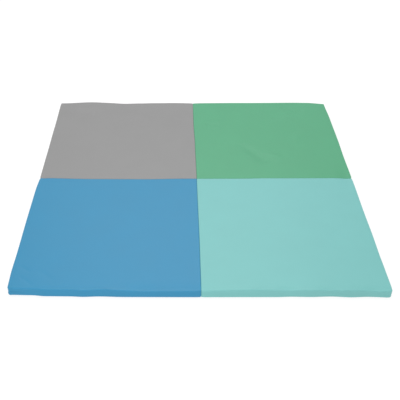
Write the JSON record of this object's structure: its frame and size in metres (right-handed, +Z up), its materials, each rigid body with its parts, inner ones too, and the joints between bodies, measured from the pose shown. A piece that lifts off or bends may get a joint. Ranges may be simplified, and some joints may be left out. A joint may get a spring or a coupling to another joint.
{
  "type": "play mat",
  "caption": "Square padded play mat in coated cloth, quartered by two crossed seams into grey, green, blue and mint panels: a soft floor to sit and crawl on.",
  "frame": {"origin": "on the floor, under the middle of the mat", "axes": "+Z up from the floor; +X to the right and +Y to the back, with the blue and mint pads in front"},
  "size_m": [1.4822, 1.4869, 0.0447],
  "materials": {
    "grey_cloth": "matte",
    "green_cloth": "matte",
    "blue_cloth": "matte",
    "mint_cloth": "matte"
  },
  "bodies": {
    "root": {"pad_grey": "grey_cloth", "pad_green": "green_cloth", "pad_blue": "blue_cloth", "pad_mint": "mint_cloth"}
  },
  "joints": []
}
